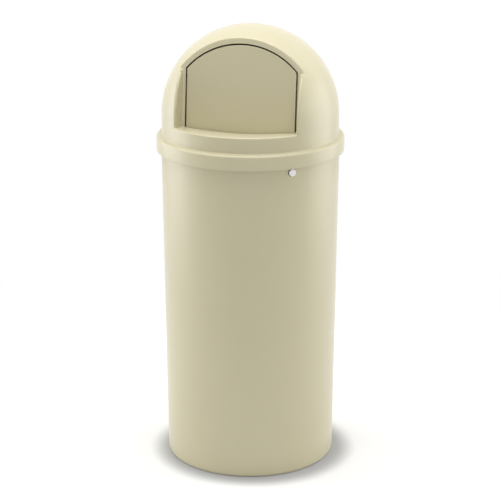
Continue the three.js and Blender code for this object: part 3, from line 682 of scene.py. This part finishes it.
def push_door():
    """The outline moved in by each row's inset at each row's depth: flat front, rounded edge, rim, and
    the panel's back. The front and the back close on a point, row = middle + s (outline - middle)."""
    line, outward = door_outline()
    rim = rounded(
        [
            (EASE + 1.25, 0, 0),
            (EASE, 0, 0.4),
            (EASE + DOOR_RIM_TAPER, DOOR_RIM_DEPTH, 0.7),
            (DOOR_RIM_WALL, DOOR_RIM_DEPTH, 0.7),
            (DOOR_RIM_WALL, DOOR_PANEL, 0.3),
            (DOOR_RIM_WALL + 0.4, DOOR_PANEL, 0),
        ],
        steps=5,
    )
    ring = line[None] - rim[:, 0, None, None] * outward
    depth = rim[:, 1, None] + 0 * ring[..., 0]
    middle = np.array([0.0, DOOR_MIDDLE_HEIGHT])
    shares = np.array([0, 0.25, 0.5, 0.75, 0.93, 0.985])[:, None, None]
    front = middle + shares * (ring[0] - middle)
    back = (middle + shares * (ring[-1] - middle))[::-1]
    flat = np.concatenate([front, ring, back])
    depths = np.concatenate([np.zeros(front.shape[:2]), depth, np.full(back.shape[:2], DOOR_PANEL)])
    return surface("door_panel", on_face(flat[..., 0], depths, flat[..., 1]), across=False)


def door_lug(side, hand):
    """A lug of the door: outline from the panel's back round the hinge's eye, and rows across its
    thickness that end in the bush's bore."""
    turn = np.linspace(-math.pi / 2, math.pi / 2, 25)
    eye = np.stack([HINGE_DEPTH + LUG_RADIUS * np.cos(turn), HINGE_HEIGHT + LUG_RADIUS * np.sin(turn)], -1)
    level = np.linspace(HINGE_DEPTH, 2.0, 8)[1:]
    top = np.stack([level, np.full(7, HINGE_HEIGHT + LUG_RADIUS)], -1)
    front = np.stack([np.full(7, 2.0), HINGE_HEIGHT + np.linspace(LUG_RADIUS, -LUG_RADIUS, 9)[1:-1]], -1)
    line = np.concatenate([eye, top, front, top[::-1] - [0, 2 * LUG_RADIUS]])
    middle = np.array([HINGE_DEPTH, HINGE_HEIGHT])
    angle = np.arctan2(line[:, 1] - middle[1], line[:, 0] - middle[0])
    bore = middle + (BUSH_RADIUS + SEAT_GAP) * np.stack([np.cos(angle), np.sin(angle)], -1)
    inner = middle + (line - middle) * (1 - 0.5 / LUG_RADIUS)
    x0, x1 = LUG_INNER, LUG_OUTER
    loops = [(inner, x0), (line, x0 + 0.5), (line, x1 - 0.5), (inner, x1), (bore, x1), (bore, x0)]
    grid = np.stack([on_face(side * x + 0 * loop[:, 0], loop[:, 0], loop[:, 1]) for loop, x in loops])
    return surface(f"door_lug_{hand}", grid)


# ---------------------------------------------------------------- hinge, springs, stops
def on_hinge(name, corners, side=1.0, closed=False):
    """A profile of (radius, distance out from the middle, rounding) turned round the hinge's axis."""
    origin = on_face(0.0, HINGE_DEPTH, HINGE_HEIGHT)
    grid = spun(rounded(corners, 4, closed), origin, side * ACROSS, UP)
    return surface(name, grid, across=closed)


def hinge_rod():
    """A plain rod with rounded ends, across the dome."""
    end = ROD_END
    corners = [(0, -end, 0), (ROD_RADIUS, -end, 0.6), (ROD_RADIUS, end, 0.6), (0, end, 0)]
    return on_hinge("hinge_rod_turned", corners)


def rod_cap(side, hand):
    """A push-on cap over the rod's end."""
    end = CAP_INNER + CAP_LENGTH
    outer = ROD_BORE + CAP_WALL
    corners = [
        (0, ROD_END + SEAT_GAP, 0),
        (ROD_BORE, ROD_END + SEAT_GAP, 0.3),
        (ROD_BORE, CAP_INNER, 0.2),
        (outer, CAP_INNER, 0.3),
        (outer, end, 1.3),
        (0, end, 0),
    ]
    return on_hinge(f"rod_cap_{hand}_turned", corners, side)


def door_bush(side, hand):
    """A flanged bearing in the lug's bore, its flange towards the middle of the door."""
    lip = LUG_INNER - SEAT_GAP
    corners = [
        (ROD_BORE, lip - BUSH_FLANGE, 0.2),
        (BUSH_FLANGE_RADIUS, lip - BUSH_FLANGE, 0.3),
        (BUSH_FLANGE_RADIUS, lip, 0.2),
        (BUSH_RADIUS, lip, 0.2),
        (BUSH_RADIUS, LUG_OUTER, 0.3),
        (ROD_BORE, LUG_OUTER, 0.3),
    ]
    return on_hinge(f"door_bush_{hand}_turned", corners, side, closed=True)


def wire(name, line, radius, sides=14):
    """A round wire along a line: at each point a ring of cos t and sin t times two directions that are
    carried along the line without twisting. Its ends close on a point."""
    ahead = np.gradient(line, axis=0)
    ahead = ahead / np.linalg.norm(ahead, axis=1)[:, None]
    first = np.cross(ahead[0], UP)
    carried = [first / np.linalg.norm(first)]
    for direction in ahead[1:]:
        flat = carried[-1] - direction * (carried[-1] @ direction)
        carried.append(flat / np.linalg.norm(flat))
    normal = np.stack(carried)
    other = np.cross(ahead, normal)
    turn = np.linspace(0, 2 * math.pi, sides, endpoint=False)[None, :, None]
    ring = np.cos(turn) * normal[:, None] + np.sin(turn) * other[:, None]
    rings = line[:, None] + radius * ring
    start, stop = (np.repeat(end[:, None], sides, 1) for end in (line[:1], line[-1:]))
    return surface(name, np.concatenate([start, rings, stop]), across=False)


def door_spring(side, hand):
    """A torsion spring: hook over the door's rim, leg, coil x = start + pitch turns round the rod with
    (cos a, sin a) times its radius, and a pin through the bracket. A running mean rounds its bends."""
    hook_depth = DOOR_RIM_DEPTH + SEAT_GAP + WIRE_RADIUS
    hook_height = HINGE_HEIGHT - 28.0
    share = np.linspace(0, 1, 200)
    turn = share * COIL_TURNS * 2 * math.pi
    coil = np.stack(
        [
            COIL_START + (COIL_END - COIL_START) * share,
            HINGE_DEPTH + COIL_RADIUS * np.cos(turn),
            HINGE_HEIGHT + COIL_RADIUS * np.sin(turn),
        ],
        -1,
    )
    hook = [[COIL_START - 9.0, hook_depth, hook_height], [COIL_START, hook_depth, hook_height]]
    pin = [[BRACKET_OUTER + WIRE_RADIUS, coil[-1, 1], coil[-1, 2]]]
    line = evenly(np.concatenate([hook, coil, pin])[None], 460)[0]
    window = np.ones(7) / 7
    inner = np.stack([np.convolve(line[:, k], window, "valid") for k in range(3)], -1)
    line = np.concatenate([line[:1], inner, line[-1:]])
    path = on_face(side * line[:, 0], line[:, 1], line[:, 2])
    return wire(f"door_spring_{hand}_wound", path, WIRE_RADIUS)


def bracket_screw(side, hand, height, place):
    """Pointed shank and domed head, turned round a line square to the leaning face."""
    tip = SEAT_GAP - SCREW_LENGTH
    crown = SEAT_GAP + SCREW_HEAD_HEIGHT
    corners = [
        (0, tip, 0),
        (SCREW_RADIUS / 2, tip, 0.2),
        (SCREW_RADIUS, tip + SCREW_RADIUS, 0.4),
        (SCREW_RADIUS, SEAT_GAP, 0),
        (SCREW_HEAD_RADIUS, SEAT_GAP, 0.2),
        (SCREW_HEAD_RADIUS, crown, 1.6),
        (0, crown, 0),
    ]
    origin = on_face(side * SCREW_X, FOOT_BACK, height)
    grid = spun(rounded(corners, 5), origin, BACK, UP, steps=32)
    return surface(f"bracket_screw_{hand}_{place}_turned", grid, across=False)


def slab(name, x0, x1, d0, d1, h0, h1, round_over):
    """A moulded block on the face's axes: its eight corners, with every edge rounded by a bevel."""
    x, depth, height = np.meshgrid([x0, x1], [d0, d1], [h0, h1], indexing="ij")
    points = on_face(x.ravel(), depth.ravel(), height.ravel())
    quads = np.array([[0, 1, 3, 2], [4, 6, 7, 5], [0, 4, 5, 1], [2, 3, 7, 6], [0, 2, 6, 4], [1, 5, 7, 3]])
    made = body(name, [(points, quads)], crease=30)
    bevel = made.modifiers.new("rounded edges", "BEVEL")
    bevel.width = round_over * MM
    bevel.segments = 3
    bevel.limit_method = "NONE"
    bevel.harden_normals = True
    return made


def door_bumper(side, hand):
    """A rubber pad on the sill's hem, where the closed door rests."""
    x0, x1 = side * BUMPER_X - BUMPER_HALF, side * BUMPER_X + BUMPER_HALF
    low = DOOR_BOTTOM + 1.0
    high = low + BUMPER_HEIGHT
    return slab(f"door_bumper_{hand}_pad", x0, x1, SEAT_GAP - STOP_GAP, -SEAT_GAP, low, high, 0.5)


def hinge_pad(side, hand):
    """The moulded pad behind the flange that a bracket is screwed to."""
    near, far = DOOR_HALF + DOOR_GAP + SEAT_GAP, BRACKET_OUTER + WALL / 2
    x0, x1 = sorted((side * near, side * far))
    return slab(f"hinge_pad_{hand}", x0, x1, WALL / 2, PAD_BACK, FOOT_BOTTOM - 2, FOOT_TOP + SEAT_GAP, 0.8)


# ---------------------------------------------------------------- plugs and band
def on_plug_axis(name, corners, turn, start, closed=False):
    """A profile of (radius, distance outwards, rounding) turned round a plug's own level axis."""
    outwards = np.array([math.sin(turn), -math.cos(turn), 0.0])
    origin = outwards * start + np.array([0, 0, PLUG_HEIGHT])
    grid = spun(rounded(corners, 5, closed), origin, outwards, (0, 0, 1), steps=64)
    return surface(name, grid, across=closed)


def hole_plug(turn, end):
    """Round head outside, shank through the grommet, and a barb behind it."""
    tail = -(WALL + SEAT_GAP + GROMMET_LIP + SEAT_GAP)
    corners = [
        (0, tail - 2, 0),
        (SHANK_RADIUS + 0.2, tail - 2, 0.5),
        (SHANK_RADIUS + 1.2, tail, 0.3),
        (SHANK_RADIUS, tail, 0),
        (SHANK_RADIUS, SEAT_GAP, 0),
        (PLUG_RADIUS, SEAT_GAP, 0.3),
        (PLUG_RADIUS, PLUG_PROUD, 1.2),
        (0, PLUG_PROUD, 0),
    ]
    return on_plug_axis(f"hole_plug_{end}_turned", corners, turn, tub_wall(PLUG_HEIGHT))


def plug_grommet(turn, end):
    """A rubber sleeve in the tub's wall, with a wider lip inside it."""
    bore = SHANK_RADIUS + SEAT_GAP
    corners = [
        (bore, -GROMMET_LIP, 0.3),
        (GROMMET_RADIUS + 2.6, -GROMMET_LIP, 0.5),
        (GROMMET_RADIUS + 2.6, -SEAT_GAP, 0.2),
        (GROMMET_RADIUS, -SEAT_GAP, 0.2),
        (GROMMET_RADIUS, WALL + SEAT_GAP, 0.5),
        (bore, WALL + SEAT_GAP, 0.4),
    ]
    start = tub_wall(PLUG_HEIGHT) - WALL - SEAT_GAP
    return on_plug_axis(f"plug_grommet_{end}_turned", corners, turn, start, closed=True)


def bag_band():
    """A flat elastic band round the tub, just under the rim's bead."""
    top = TUB_HEIGHT - BEAD_HEIGHT - SEAT_GAP
    low = top - BAND_WIDTH
    inner = tub_wall(top) + SEAT_GAP
    outer = inner + BAND_THICK
    corners = [(inner, low, 0.8), (outer, low, 0.8), (outer, top, 0.8), (inner, top, 0.8)]
    return surface("bag_band_turned", spun(rounded(corners, 4, True), steps=160))


# ---------------------------------------------------------------- finishes
class Socket:
    """A shader node's output, which numbers and other outputs can be worked on with."""

    def __init__(self, finish, output):
        self.finish, self.output = finish, output

    def _maths(self, operation, first, second):
        return self.finish.node("ShaderNodeMath", {"operation": operation}, {0: first, 1: second})

    def __add__(self, other):
        return self._maths("ADD", self, other)

    def __sub__(self, other):
        return self._maths("SUBTRACT", self, other)

    def __rsub__(self, other):
        return self._maths("SUBTRACT", other, self)

    def __mul__(self, other):
        return self._maths("MULTIPLY", self, other)

    __radd__, __rmul__ = __add__, __mul__


class Finish:
    """A material, or the world, built up from nodes."""

    def __init__(self, name, owner=None):
        self.data = owner or bpy.data.materials.new(name)
        self.data.use_nodes = True
        self.tree = self.data.node_tree
        self.tree.nodes.clear()

    def node(self, kind, settings=None, inputs=None, output=0):
        """One node: its settings first, then the values or links of its sockets."""
        made = self.tree.nodes.new(kind)
        for key, value in (settings or {}).items():
            setattr(made, key, value)
        for key, value in (inputs or {}).items():
            if isinstance(value, Socket):
                self.tree.links.new(value.output, made.inputs[key])
            else:
                made.inputs[key].default_value = value
        return Socket(self, made.outputs[output]) if made.outputs else None

    def place(self):
        return self.node("ShaderNodeTexCoord", output="Object")

    def noise(self, scale, detail=2.0, roughness=0.5):
        inputs = {"Vector": self.place(), "Scale": scale, "Detail": detail, "Roughness": roughness}
        return self.node("ShaderNodeTexNoise", {}, inputs)

    def mix(self, factor, first, second):
        """Two colours, blended by a factor."""
        return self.node("ShaderNodeMix", {"data_type": "RGBA"}, {0: factor, 6: first, 7: second}, 2)

    def bump(self, height, strength, distance):
        inputs = {"Height": height, "Strength": strength, "Distance": distance}
        return self.node("ShaderNodeBump", {}, inputs)

    def surface(self, **inputs):
        """The shader with these sockets, as the material's surface."""
        names = {key.replace("_", " "): value for key, value in inputs.items()}
        shader = self.node("ShaderNodeBsdfPrincipled", {}, names)
        self.node("ShaderNodeOutputMaterial", {}, {"Surface": shader})
        return self.data


def moulded_plastic(name, light, deep, roughness):
    """Satin polyethylene: a colour that drifts a little over the piece, a fine moulded grain, and a
    pale bloom where it is seen edge on."""
    finish = Finish(name)
    drift = finish.noise(4.0, 3.0, 0.6)
    grain = finish.noise(1400.0, 2.0, 0.6)
    return finish.surface(
        Base_Color=finish.mix(drift, deep, light),
        Roughness=roughness - 0.03 + 0.06 * finish.noise(22.0, 3.0, 0.6),
        Normal=finish.bump(grain, 0.12, 0.0004),
        IOR=1.65,
        Sheen_Weight=0.3,
        Sheen_Roughness=0.35,
    )


def plain(name, colour, roughness, metallic=0.0, grain=0.0):
    """Nylon, rubber or plated steel, with a roughness that varies a little."""
    finish = Finish(name)
    inputs = {"Base_Color": colour, "Metallic": metallic}
    inputs["Roughness"] = roughness - 0.04 + 0.08 * finish.noise(90.0, 3.0, 0.6)
    if grain:
        inputs["Normal"] = finish.bump(finish.noise(900.0), grain, 0.0005)
    return finish.surface(**inputs)


BEIGE_LIGHT = (0.600, 0.550, 0.362, 1)
BEIGE_DEEP = (0.576, 0.527, 0.344, 1)
# The door's colours are the tub's beige drawn a little darker: painted shade for the door in its recess,
# on the same plastic.
DOOR_PAINTED_SHADE_LIGHT = (0.560, 0.510, 0.330, 1)
DOOR_PAINTED_SHADE_DEEP = (0.538, 0.489, 0.315, 1)
FINISHES = {
    "tub_plastic": moulded_plastic("tub plastic", BEIGE_LIGHT, BEIGE_DEEP, 0.34),
    "dome_plastic": moulded_plastic("dome plastic", BEIGE_LIGHT, BEIGE_DEEP, 0.34),
    # painted shade: the door's darker beige
    "door_plastic": moulded_plastic("door plastic with painted shade", DOOR_PAINTED_SHADE_LIGHT, DOOR_PAINTED_SHADE_DEEP, 0.42),
    "white_nylon": plain("white nylon", (0.95, 0.95, 0.94, 1), 0.4),
    "black_rubber": plain("black rubber", (0.016, 0.016, 0.015, 1), 0.7, grain=0.2),
    "zinc_steel": plain("zinc-plated steel", (0.60, 0.61, 0.62, 1), 0.34, 1.0, grain=0.06),
    "spring_steel": plain("oiled spring wire", (0.30, 0.30, 0.31, 1), 0.3, 1.0),
}


# ---------------------------------------------------------------- the pieces on their bodies; the door springs are put on none
def place(made, body_name, slot, *nodes):
    """A finished piece on its body, with its finish, standing for these nodes of the solid part."""
    made.data.materials.clear()
    made.data.materials.append(FINISHES[slot])
    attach(made, body_name)
    if nodes:
        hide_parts(*nodes)
    return made


place(tub(), "tub", "tub_plastic", "tub")
place(bag_band(), "tub", "black_rubber", "bag_band")
for end, turn in (("front", PLUG_TURN), ("rear", PLUG_TURN + math.pi)):
    place(hole_plug(turn, end), "tub", "white_nylon", f"hole_plug_{end}")
    place(plug_grommet(turn, end), "tub", "black_rubber", f"plug_grommet_{end}")
place(dome_top(), "dome", "dome_plastic", "dome_top")
place(push_door(), "door", "door_plastic", "push_door")
place(hinge_rod(), "dome", "zinc_steel", "hinge_rod")

for hand, side in (("left", -1.0), ("right", 1.0)):
    place(door_lug(side, hand), "door", "door_plastic")
    place(door_bush(side, hand), "door", "white_nylon", f"door_bush_{hand}")
    place(rod_cap(side, hand), "dome", "zinc_steel", f"rod_cap_{hand}")
    place(door_bumper(side, hand), "dome", "black_rubber", f"door_bumper_{hand}")
    place(hinge_pad(side, hand), "dome", "dome_plastic")
    for level, height in (("lower", FOOT_BOTTOM + 6.0), ("upper", FOOT_BOTTOM + 16.0)):
        screw = bracket_screw(side, hand, height, level)
        place(screw, "dome", "zinc_steel", f"bracket_screw_{hand}_{level}")
    spring = door_spring(side, hand)
    spring.data.materials.append(FINISHES["spring_steel"])
    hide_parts(f"door_spring_{hand}")
    ends = [on_face(side * x, HINGE_DEPTH, HINGE_HEIGHT) * MM for x in (COIL_END, COIL_START)]
    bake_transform(spring)
    bracket = frame["nodes"][f"hinge_bracket_{hand}"]
    bracket.data.materials.clear()
    bracket.data.materials.append(FINISHES["zinc_steel"])


# ---------------------------------------------------------------- floor, lamps and camera, in metres
FLOOR_HALF = 30.0
FLOOR_LIFT = 0.23
WHITE_FROM, WHITE_FULL = 0.55, 1.3  # from the object's axis
PAINTED_SHADOW_MIDDLE = (0.007, -0.004, 0)  # middle of the painted shadow round the foot
# painted shadow: how dark it is at the foot, and the distances over which it fades out
PAINTED_SHADOW_DEPTH, PAINTED_SHADOW_FROM, PAINTED_SHADOW_END = 0.52, 0.178, 0.232
CAMERA_TURN = math.radians(13.0)
CAMERA_AWAY, CAMERA_HEIGHT, CAMERA_PITCH = 3.72, 1.606, 0.30254
CAMERA_AIM = 0.00022  # to the left of the object's axis
SENSOR = 36.0  # mm
FOCAL_PIXELS, PICTURE_PIXELS = 1840.0, 500.0


def floor():
    """A white floor that keeps the object's shadow from the lamps: pale under the lamps, raised to white
    for the camera, with a painted shadow close to the foot for the camera and in reflections, and plain
    white further out."""
    size = FLOOR_HALF
    corners = [(-size, -size, 0), (size, -size, 0), (size, size, 0), (-size, size, 0)]
    mesh = bpy.data.meshes.new("floor")
    mesh.from_pydata(corners, [], [(0, 1, 2, 3)])
    made = bpy.data.objects.new("floor", mesh)
    bpy.context.scene.collection.objects.link(made)
    finish = Finish("white floor")
    place_on = finish.node("ShaderNodeNewGeometry", output="Position")
    away = finish.node("ShaderNodeVectorMath", {"operation": "LENGTH"}, {0: place_on}, "Value")
    far = finish.node(
        "ShaderNodeMapRange",
        {"interpolation_type": "SMOOTHSTEP", "clamp": True},
        {"Value": away, "From Min": WHITE_FROM, "From Max": WHITE_FULL, "To Min": 0.0, "To Max": 1.0},
    )
    paint = finish.node("ShaderNodeBsdfDiffuse", {}, {"Color": (0.8, 0.8, 0.8, 1)})
    rays = [finish.node("ShaderNodeLightPath", output=name) for name in ("Is Camera Ray", "Is Glossy Ray")]
    seen = rays[0] + rays[1]
    lift = finish.node("ShaderNodeEmission", {}, {"Color": (1, 1, 1, 1), "Strength": seen * FLOOR_LIFT})
    near = finish.node("ShaderNodeAddShader", {}, {0: paint, 1: lift})
    white = finish.node("ShaderNodeEmission", {}, {"Color": (1, 1, 1, 1), "Strength": 1.0})
    # painted shadow: the floor is drawn darker round the foot by its distance from a point beside the
    # axis, for the camera and in reflections only
    ends = {0: place_on, 1: PAINTED_SHADOW_MIDDLE}
    spot = finish.node("ShaderNodeVectorMath", {"operation": "DISTANCE"}, ends, "Value")
    shade = finish.node(
        "ShaderNodeMapRange",
        {"interpolation_type": "SMOOTHSTEP", "clamp": True},
        {"Value": spot, "From Min": PAINTED_SHADOW_FROM, "From Max": PAINTED_SHADOW_END, "To Min": PAINTED_SHADOW_DEPTH, "To Max": 0.0},
    )
    # the black that the painted shadow mixes in
    dark = finish.node("ShaderNodeBsdfDiffuse", {}, {"Color": (0, 0, 0, 1)})
    with_painted_shadow = finish.node("ShaderNodeMixShader", {}, {0: shade * seen, 1: near, 2: dark})
    both = finish.node("ShaderNodeMixShader", {}, {0: far * seen, 1: with_painted_shadow, 2: white})
    finish.node("ShaderNodeOutputMaterial", {}, {"Surface": both})
    mesh.materials.append(finish.data)


def world(ambient):
    """Soft light from all round, seen as white by the camera and in reflections."""
    scene_world = bpy.data.worlds.new("studio")
    bpy.context.scene.world = scene_world
    finish = Finish("studio", scene_world)
    direct = finish.node("ShaderNodeLightPath", output="Is Camera Ray")
    mirrored = finish.node("ShaderNodeLightPath", output="Is Glossy Ray")
    through = finish.node("ShaderNodeLightPath", output="Is Transmission Ray")
    seen = direct + mirrored + through
    strength = ambient + (1 - ambient) * seen
    back = finish.node("ShaderNodeBackground", {}, {"Color": (1, 1, 1, 1), "Strength": strength})
    finish.node("ShaderNodeOutputWorld", {}, {"Surface": back})


def softbox(name, place_at, aim, width, height, power):
    """A large soft lamp, turned to face a point."""
    data = bpy.data.lights.new(name, "AREA")
    data.shape = "RECTANGLE"
    data.size, data.size_y, data.energy = width, height, power
    made = bpy.data.objects.new(name, data)
    made.location = place_at
    made.rotation_mode = "QUATERNION"
    made.rotation_quaternion = (Vector(aim) - Vector(place_at)).to_track_quat("-Z", "Y")
    bpy.context.scene.collection.objects.link(made)


def camera():
    """From a little to the right of the door and above, through a long lens."""
    data = bpy.data.cameras.new("view")
    data.sensor_width = SENSOR
    data.lens = FOCAL_PIXELS / PICTURE_PIXELS * SENSOR
    made = bpy.data.objects.new("view", data)
    made.location = (
        CAMERA_AWAY * math.sin(CAMERA_TURN),
        -CAMERA_AWAY * math.cos(CAMERA_TURN),
        CAMERA_HEIGHT,
    )
    made.rotation_euler = (math.pi / 2 - CAMERA_PITCH, 0, CAMERA_TURN + CAMERA_AIM)
    bpy.context.scene.collection.objects.link(made)
    bpy.context.scene.camera = made


def around(turn, away, height):
    """A place round the object: a turn from the camera's side towards +X, in degrees."""
    t = CAMERA_TURN + math.radians(turn)
    return (away * math.sin(t), -away * math.cos(t), height)


floor()
world(0.48)
softbox("top", around(0, 0.15, 2.4), (0, 0, 0.8), 1.4, 1.4, 26)
softbox("front", around(5, 3.0, 0.9), (0, 0, 0.4), 2.0, 1.4, 7)
softbox("right", around(100, 1.9, 0.7), (0, 0, 0.45), 1.5, 1.4, 14)
softbox("left", around(-105, 1.9, 0.7), (0, 0, 0.45), 1.5, 1.4, 12.5)
softbox("high right", around(112, 1.5, 1.9), (0, 0, 0.6), 1.2, 1.2, 3.2)
softbox("high left", around(-112, 1.5, 1.9), (0, 0, 0.6), 1.2, 1.2, 6.0)
softbox("low left", around(-85, 1.5, 0.3), (0, 0, 0.25), 1.2, 0.5, 1.6)
camera()
bpy.context.scene.view_settings.view_transform = "Standard"
